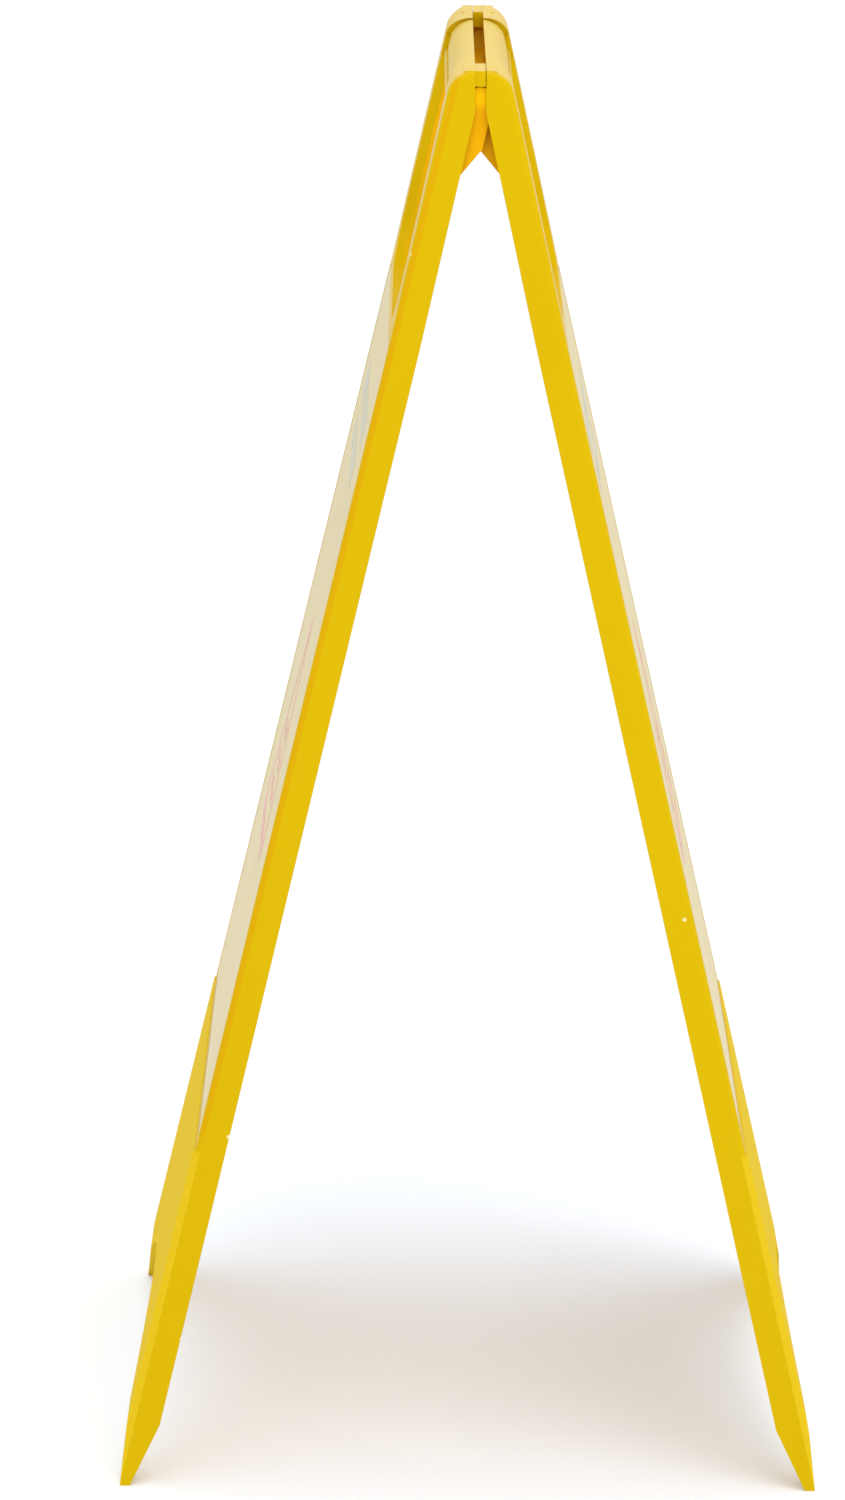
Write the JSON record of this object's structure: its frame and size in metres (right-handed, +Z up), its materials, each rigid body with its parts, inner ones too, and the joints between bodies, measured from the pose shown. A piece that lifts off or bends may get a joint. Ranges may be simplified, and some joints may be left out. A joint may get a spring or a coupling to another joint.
{
  "type": "wet floor sign",
  "caption": "Folding A-frame floor sign: two matching hollow-backed plastic panels hinged at the top, with a grip opening, a stuck-on label face and arched feet.",
  "frame": {"origin": "on the floor, under the middle of the hinge, with the sign standing open", "axes": "+X along the hinge axis, -Y towards the front panel's face, +Z up"},
  "size_m": [0.3004, 0.3054, 0.62],
  "materials": {
    "panel_plastic": "satin yellow moulded polypropylene",
    "label_sheet": "satin printed vinyl sheet",
    "pin_plastic": "plain moulded nylon"
  },
  "bodies": {
    "front_leaf": {"front_panel": "panel_plastic", "front_label": "label_sheet", "right_hinge_pin": "pin_plastic"},
    "rear_leaf": {"rear_panel": "panel_plastic", "rear_label": "label_sheet", "left_hinge_pin": "pin_plastic"}
  },
  "joints": [
    {"name": "fold_hinge", "type": "hinge", "parent": "front_leaf", "child": "rear_leaf", "pos_m": [0, 0, 0.6068], "axis": [1, 0, 0], "range_deg": [-26.2, 0]}
  ]
}
